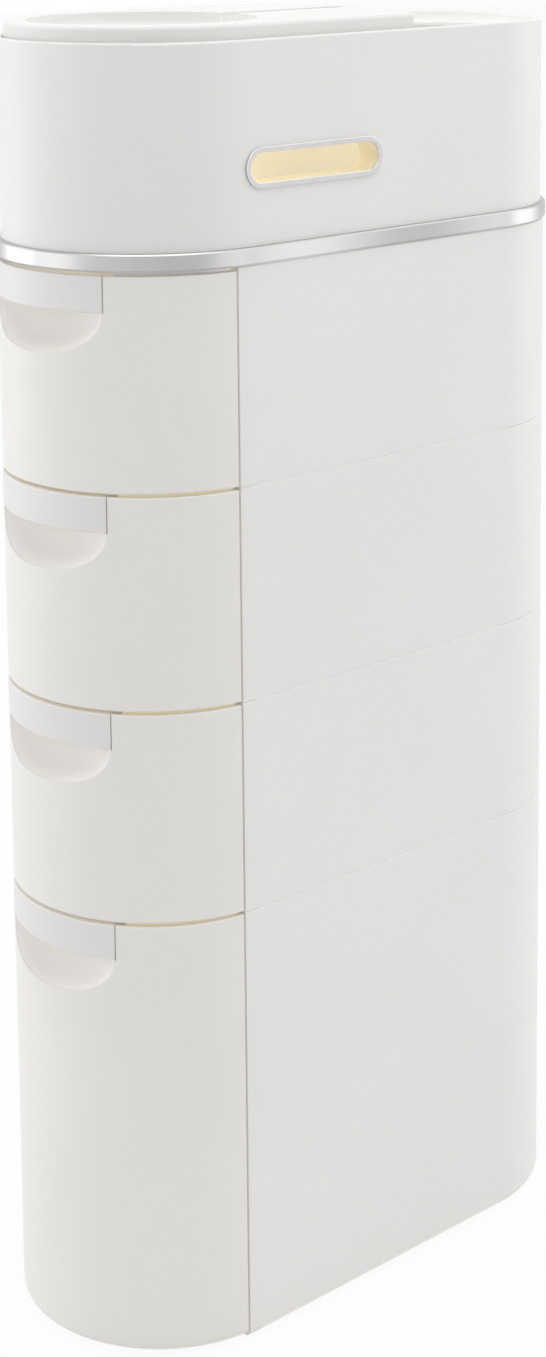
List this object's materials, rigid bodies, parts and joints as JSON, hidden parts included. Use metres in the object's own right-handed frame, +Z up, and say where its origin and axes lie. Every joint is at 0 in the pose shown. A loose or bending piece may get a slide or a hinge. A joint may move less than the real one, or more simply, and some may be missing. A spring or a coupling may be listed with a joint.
{
  "type": "slim bathroom storage tower",
  "caption": "Slim upright storage tower with rounded ends: stacked pull-out drawers with scooped pulls, a bright trim band and a top box with a side slot and lift-off lid.",
  "frame": {"origin": "on the floor, under the middle of the cabinet's plan", "axes": "+Z up, the drawers open towards -Y, and the slot is in the +X side"},
  "size_m": [0.1824, 0.3974, 0.7974],
  "materials": {
    "cabinet_plastic": "warm white moulded plastic, satin",
    "front_plastic": "warm white moulded plastic, satin",
    "tub_plastic": "off-white moulded plastic, matt",
    "cream_plastic": "cream moulded plastic, matt",
    "bright_trim": "bright plated plastic, smooth",
    "rubber_pads": "soft rubber, matt"
  },
  "bodies": {
    "cabinet": {"foot_pads": "rubber_pads", "level_tall": "cabinet_plastic", "level_low": "cabinet_plastic", "level_mid": "cabinet_plastic", "level_high": "cabinet_plastic", "trim_band": "bright_trim", "top_box": "cabinet_plastic", "slot_ring": "bright_trim", "slot_sleeve": "cream_plastic"},
    "lid": {"lid": "cabinet_plastic"},
    "drawer_1": {"drawer_1_tub": "tub_plastic", "drawer_1_front": "front_plastic", "drawer_1_pull": "front_plastic"},
    "drawer_2": {"drawer_2_tub": "tub_plastic", "drawer_2_front": "front_plastic", "drawer_2_pull": "front_plastic"},
    "drawer_3": {"drawer_3_tub": "tub_plastic", "drawer_3_front": "front_plastic", "drawer_3_pull": "front_plastic"},
    "drawer_4": {"drawer_4_tub": "tub_plastic", "drawer_4_front": "front_plastic", "drawer_4_pull": "front_plastic"}
  },
  "joints": [
    {"name": "drawer_1_slide", "type": "slide", "parent": "cabinet", "child": "drawer_1", "axis": [0, -1, 0], "range_m": [0, 0.265]},
    {"name": "drawer_2_slide", "type": "slide", "parent": "cabinet", "child": "drawer_2", "axis": [0, -1, 0], "range_m": [0, 0.265]},
    {"name": "drawer_3_slide", "type": "slide", "parent": "cabinet", "child": "drawer_3", "axis": [0, -1, 0], "range_m": [0, 0.265]},
    {"name": "drawer_4_slide", "type": "slide", "parent": "cabinet", "child": "drawer_4", "axis": [0, -1, 0], "range_m": [0, 0.265]},
    {"name": "lid_lift", "type": "slide", "parent": "cabinet", "child": "lid", "axis": [0, 0, 1], "range_m": [0, 0.09]}
  ]
}
